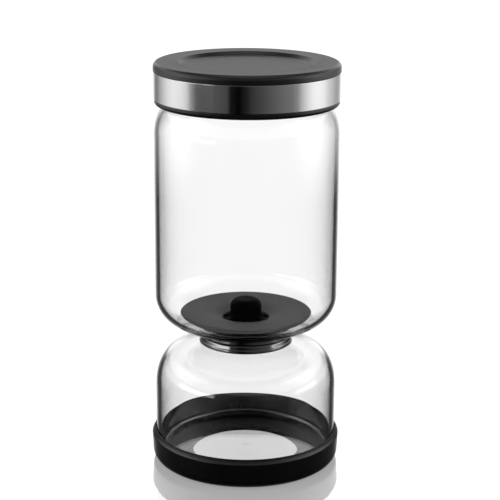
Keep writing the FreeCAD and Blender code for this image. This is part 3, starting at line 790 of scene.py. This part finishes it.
def makeLidBody():
    lid = {"plugRadius": 40.9, "plugDepth": 10.0, "plugEdge": 1.0, "plugWall": 2.2,
           "groove": 0.9, "grooveRise": 2.4, "grooveHeight": 5.4, "grooveEdge": 0.1,
           "deck": 2.0, "deckEdge": 0.3, "skirtBore": 47.3, "skirtRadius": 49.3,
           "footHeight": 3.2, "footRound": 1.7, "footEdge": 0.5, "ledgeEdge": 0.15,
           "ribs": 12, "ribWidth": 1.2, "ribInner": 44.7, "ribHeight": 8.0, "ribRoot": 0.5,
           "ribEdge": 0.25}
    plugBase = mouthRim - lid["plugDepth"]
    grooveBase = plugBase + lid["grooveRise"]
    grooveTop = grooveBase + lid["grooveHeight"]
    grooveRadius = lid["plugRadius"] - lid["groove"]
    plugBore = grooveRadius - lid["plugWall"]
    deckBase = mouthRim + seatGap
    deckTop = mouthRim + lid["deck"]
    footTop = lidFoot + lid["footHeight"]
    outline = [
        (0, plugBase),
        (lid["plugRadius"], plugBase, lid["plugEdge"]),
        (lid["plugRadius"], grooveBase, lid["grooveEdge"]),
        (grooveRadius, grooveBase, lid["grooveEdge"]),
        (grooveRadius, grooveTop, lid["grooveEdge"]),
        (lid["plugRadius"], grooveTop, lid["grooveEdge"]),
        (lid["plugRadius"], deckBase, lid["deckEdge"]),
        (lid["skirtBore"], deckBase, lid["deckEdge"]),
        (lid["skirtBore"], lidFoot, lid["footEdge"]),
        (lidFootRadius, lidFoot, lid["footRound"]),
        (lidFootRadius, footTop, lid["ledgeEdge"]),
        (lid["skirtRadius"], footTop),
        (lid["skirtRadius"], lidSeat, lid["ledgeEdge"]),
        (lid["skirtBore"], lidSeat, lid["ledgeEdge"]),
        (lid["skirtBore"], deckTop, lid["deckEdge"]),
        (plugBore, deckTop, lid["deckEdge"]),
        (plugBore, plugBase + lid["deck"], lid["deckEdge"]),
        (0, plugBase + lid["deck"]),
    ]
    piece = turnOutline("lidMoulding", outline)
    ribFoot, ribTop = mouthRim - lid["ribHeight"], mouthRim + lid["ribRoot"]
    rib = block("locatingRib", (lid["ribInner"], -lid["ribWidth"] / 2, ribFoot),
                (lid["skirtBore"] + lid["ribRoot"], lid["ribWidth"] / 2, ribTop), lid["ribEdge"])
    join(piece, ringOf(rib, lid["ribs"]))
    finishPiece(piece, "lid_body", "lid_plastic", "lid")


def makeLidSeal():
    seal = {"groove": 40.0, "plug": 40.9, "lip": 41.6, "lipHeight": 1.2, "edge": 0.1,
            "lipEdge": 0.2, "waistEdge": 0.3}
    base, top, _ = spanOf("lid_seal")
    waist = (base + top) / 2
    outline = [
        (seal["groove"] + seatGap, base + skinGap, seal["edge"]),
        (seal["plug"], base + skinGap, seal["edge"]),
        (seal["lip"], base + seal["lipHeight"], seal["lipEdge"]),
        (seal["plug"], waist, seal["waistEdge"]),
        (seal["lip"], waist + seal["lipHeight"], seal["lipEdge"]),
        (seal["plug"], top - skinGap, seal["edge"]),
        (seal["groove"] + seatGap, top - skinGap, seal["edge"]),
    ]
    finishPiece(turnOutline("lidWiper", outline), "lid_seal", "seal_silicone", "lid")


def makeSteelBand():
    band = {"wall": 0.7, "edge": 0.15}
    inner = bandRadius - band["wall"]
    corners = [(inner, bandBase), (bandRadius, bandBase), (bandRadius, bandTop), (inner, bandTop)]
    outline = [(radius, height, band["edge"]) for radius, height in corners]
    piece = turnOutline("steelBand", outline, sides=fineSides)
    finishPiece(piece, "lid_band", "brushed_band", "lid")


def makeLidCap():
    cap = {"recess": 37.5, "slope": 3.4, "depth": 2.6, "dish": 0.6, "edge": 1.9, "crest": 43.0,
           "crown": 30.0, "fall": 0.5, "rim": 2.6, "wall": 2.0, "recessWall": 1.0,
           "spigot": 47.2, "spigotWall": 1.8, "spigotEdge": 0.3, "crease": 0.1, "innerEdge": 0.5}
    edgeTop = lidTop - cap["dish"]
    floor = lidTop - cap["depth"]
    slopeFoot = cap["recess"] - cap["slope"]
    spigotInner = cap["spigot"] - cap["spigotWall"]
    outline = [
        (0, floor),
        (slopeFoot, floor, cap["slope"]),
        (cap["recess"], edgeTop, cap["edge"]),
        (cap["crest"], lidTop, cap["crown"]),
        (lidRadius, lidTop - cap["fall"], cap["rim"]),
        (lidRadius, bandTop, cap["spigotEdge"]),
        (cap["spigot"], bandTop, cap["crease"]),
        (cap["spigot"], capBase, cap["spigotEdge"]),
        (spigotInner, capBase, cap["spigotEdge"]),
        (spigotInner, edgeTop - cap["wall"], cap["innerEdge"]),
        (cap["recess"] + cap["recessWall"], edgeTop - cap["wall"], cap["innerEdge"]),
        (slopeFoot + cap["recessWall"], floor - cap["wall"], cap["innerEdge"]),
        (0, floor - cap["wall"]),
    ]
    piece = turnOutline("lidCap", outline, cuts=8, sides=fineSides)
    finishPiece(piece, "lid_cap", "lid_plastic", "lid")


makeBoot()
makeBrineGlass()
makePickleGlass()
makeNeckRing()
makeFlatRing("neckSeal", "neck_seal", "seal_silicone", "seal", edge=0.12)
makeClampNut()
makeFlatRing("outerGasket", "outer_gasket", "seal_silicone", "upper", drop=seatGap)
makeFlatRing("innerGasket", "inner_gasket", "seal_silicone", "upper", lift=seatGap)
makeDrainStem()
makeStrainerPlate()
makeStrainerGrip()
makeLidBody()
makeLidSeal()
makeSteelBand()
makeLidCap()


# studio: distances and lengths in metres, directions in degrees from the front to the right

def stageMesh(piece, name, material):
    piece.name = piece.data.name = name
    bpy.ops.object.transform_apply(location=True, rotation=True, scale=True)
    piece.data.materials.append(material)


def makeFloor():
    floor = {"size": 8.0, "drop": 0.0001,
             # what the camera sees: a mirror near the keeper, then a bright matt table
             "own": 0.43, "shadowShare": 0.3, "mirror": 0.6, "mirrorEnd": (0.08, 0.17),
             "lowAngle": (0.25, 0.5), "glow": 0.85, "farShadow": 0.3,
             # what rays through the glass see, straight and reflected, with painted shade near the
             # keeper, and what lights the keeper
             "reach": 0.4, "lowStart": (0.06, 0.12), "bounce": 0.8,
             "through": [(0.0, 0.63), (0.028, 0.68), (0.05, 0.9), (0.12, 0.99), (0.2, 1.05),
                         (0.4, 1.1)],
             "low": [(-168, 0.9), (-155, 0.05), (-40, 0.01), (40, 0.01), (155, 0.05), (168, 0.9)]}
    finish = Finish(bpy.data.materials.new("glossyWhiteTable"))
    place = finish.objectPlace()
    away = finish.vectorMaths("LENGTH", place, output="Value")
    shadowed = finish.matte(floor["own"] * floor["shadowShare"])
    plain = finish.glow(floor["own"] * (1 - floor["shadowShare"]))
    mirror = finish.add("ShaderNodeBsdfGlossy", {}, {
        "Color": grey(floor["mirror"]), "Roughness": 0.0})
    near = finish.addShaders(finish.addShaders(shadowed, plain), mirror)
    far = finish.addShaders(finish.glow(floor["glow"]), finish.matte(floor["farShadow"]))
    # the table mirrors only where it is seen at a low angle
    lowAngle = finish.rising(finish.facing(), *floor["lowAngle"])
    glossy = (1 - finish.rising(away, *floor["mirrorEnd"])) * lowAngle
    seen = finish.mixShaders(glossy, far, near)
    # seen through the glass, the floor glows darker towards the keeper's axis: painted shadow under
    # the keeper
    stops = [(distance / floor["reach"], level) for distance, level in floor["through"]]
    through = finish.ramp(away / floor["reach"], stops)
    low = finish.around(finish.bearing(place), floor["low"])
    # reflections see no glow within about ten centimetres of the axis: painted shade under the
    # keeper
    low = low * finish.rising(away, *floor["lowStart"])
    mirrored = finish.mirrored()
    lit = finish.glow(mirrored * low + (1 - mirrored) * through)
    bounced = finish.matte(floor["bounce"])
    indirect = finish.mixShaders(finish.ray("Is Transmission Ray"), bounced, lit)
    finish.close(finish.mixShaders(finish.ray("Is Camera Ray"), indirect, seen))
    finish.owner.cycles.emission_sampling = "NONE"
    deselectAll()
    bpy.ops.mesh.primitive_plane_add(size=floor["size"], location=(0, 0, -floor["drop"]))
    ground = bpy.context.object
    ground.visible_glossy = False
    stageMesh(ground, "studioFloor", finish.owner)


def makeWall():  # a lit round wall that only reflections see
    wall = {"radius": 0.6, "height": 0.55, "sides": 128, "foot": (0.0, 0.08), "top": (0.35, 0.55),
            "light": [(-172, 0.15), (-138, 0.2), (-123, 0.65), (-108, 1.12), (-97, 1.31),
                      (-84, 1.2), (-75, 0.95), (-69, 0.42), (-62, 0.13), (-53, 0.08), (-44, 0.09),
                      (-36, 0.12), (-23, 0.09), (-19, 0.01), (-9, 0.0), (0, 0.02), (5, 0.048),
                      (20, 0.1), (54, 0.25), (61, 0.37), (68, 0.75), (76, 1.12), (84, 1.39),
                      (93, 1.45), (104, 1.3), (112, 0.97), (122, 0.73), (134, 0.45), (152, 0.4),
                      (172, 0.15)]}
    finish = Finish(bpy.data.materials.new("softBoxes"))
    place = finish.objectPlace()
    height = finish.coordinates(place)[2]
    light = finish.around(finish.bearing(place), wall["light"])
    light = light * finish.rising(height, *wall["foot"]) * (1 - finish.rising(height, *wall["top"]))
    glow = finish.glow(finish.mirrored() * light)
    finish.close(finish.addShaders(glow, finish.add("ShaderNodeBsdfTransparent")))
    finish.owner.cycles.emission_sampling = "NONE"
    deselectAll()
    bpy.ops.mesh.primitive_cylinder_add(
        vertices=wall["sides"], radius=wall["radius"], depth=wall["height"],
        end_fill_type="NOTHING", location=(0, 0, wall["height"] / 2))
    panels = bpy.context.object
    panels.visible_camera = panels.visible_diffuse = panels.visible_shadow = False
    stageMesh(panels, "studioWall", finish.owner)


def makeWorld():
    studio = {"fill": 0.8, "through": 1.03}
    # the boxes that reflections see: brightness all round, and the sines of the elevations
    # over which each rises at its foot and fades at its top
    boxes = {
        "table": {"foot": (-3.0, -2.0), "top": (-0.05, 0.05), "round": [
            (-166, 0.9), (-150, 0.1), (-100, 0.02), (-20, 0.0), (20, 0.0), (100, 0.02),
            (150, 0.1), (166, 0.9)]},
        "backdrop": {"foot": (0.2, 0.28), "top": (0.56, 0.68), "round": [
            (-170, 1.0), (-120, 0.8), (-60, 0.8), (-30, 0.5), (30, 0.5), (60, 0.8), (120, 0.8),
            (170, 1.0)]},
        "backdropFoot": {"foot": (-0.05, 0.05), "top": (0.2, 0.28), "round": [
            (-174, 0.2), (-168, 1.1), (-160, 1.1), (-150, 0.0), (150, 0.0), (160, 1.1),
            (168, 1.1), (174, 0.2)]},
        "strips": {"foot": (0.0, 0.03), "top": (0.11, 0.15), "round": [
            (-96, 0.0), (-88, 4.0), (-43, 4.0), (-39, 0.0), (65, 0.0), (70, 2.2), (98, 2.2),
            (106, 0.0)]},
        "sides": {"foot": (0.4, 0.55), "top": (0.7, 0.8), "round": [
            (-125, 0.0), (-110, 0.9), (-70, 0.9), (-50, 0.0), (50, 0.0), (65, 0.9), (105, 0.9),
            (120, 0.0)]},
        "overhead": {"foot": (0.82, 0.92), "top": (2.0, 3.0), "round": [(-180, 0.8), (180, 0.8)]},
    }
    finish = Finish(bpy.data.worlds.new("studio"))
    bpy.context.scene.world = finish.owner
    finish.owner.cycles.sampling_method = "NONE"
    direction = finish.add("ShaderNodeTexCoord", output="Generated")
    turn = finish.bearing(direction)
    height = finish.coordinates(direction)[2]
    reflected = sum(finish.around(turn, box["round"]) * finish.rising(height, *box["foot"])
                    * (1 - finish.rising(height, *box["top"])) for box in boxes.values())
    scattered = finish.maths("GREATER_THAN", finish.ray("Diffuse Depth"), 0.5)
    sharp = finish.maths("MAXIMUM", finish.ray("Is Glossy Ray"), finish.ray("Is Transmission Ray"))
    sharp = sharp * (1 - scattered)
    mirrored = finish.mirrored()
    level = mirrored * reflected + (1 - mirrored) * studio["through"]
    level = sharp * level + (1 - sharp) * studio["fill"]
    isCamera = finish.ray("Is Camera Ray")
    level = isCamera + (1 - isCamera) * level
    shader = finish.add("ShaderNodeBackground", {}, {"Color": grey(1), "Strength": level})
    finish.close(shader, "ShaderNodeOutputWorld")


def addLamp(name, place):  # a soft box that isn't seen itself
    look = {"aim": (0, 0, 0.12), "width": 0.5, "height": 0.8, "power": 3.0}
    lampData = bpy.data.lights.new(name, "AREA")
    lampData.shape = "RECTANGLE"
    lampData.size, lampData.size_y = look["width"], look["height"]
    lampData.energy = look["power"]
    lamp = bpy.data.objects.new(name, lampData)
    bpy.context.collection.objects.link(lamp)
    lamp.location = place
    lamp.rotation_euler = (Vector(look["aim"]) - Vector(place)).to_track_quat("-Z", "Y").to_euler()
    lamp.visible_camera = lamp.visible_glossy = lamp.visible_transmission = False


def makeCamera():  # a long lens that looks down at the keeper from in front
    view = {"distance": 0.8185, "height": 0.3495, "pitch": 15.68, "yaw": 0.145, "roll": 0.35,
            "lens": 111.5, "sensor": 36}
    cameraData = bpy.data.cameras.new("camera")
    cameraData.lens = view["lens"]
    cameraData.sensor_width = view["sensor"]
    camera = bpy.data.objects.new("camera", cameraData)
    bpy.context.collection.objects.link(camera)
    turn = (Matrix.Rotation(radians(-view["yaw"]), 4, "Z")
            @ Matrix.Rotation(radians(90 - view["pitch"]), 4, "X")
            @ Matrix.Rotation(radians(view["roll"]), 4, "Z"))
    camera.matrix_world = Matrix.Translation((0, -view["distance"], view["height"])) @ turn
    bpy.context.scene.camera = camera


makeFloor()
makeWall()
makeWorld()
addLamp("softBoxLeft", (-0.9, -0.35, 0.75))
addLamp("softBoxRight", (0.9, -0.3, 0.75))
makeCamera()
bpy.context.scene.view_settings.view_transform = "Standard"
print("studio made")
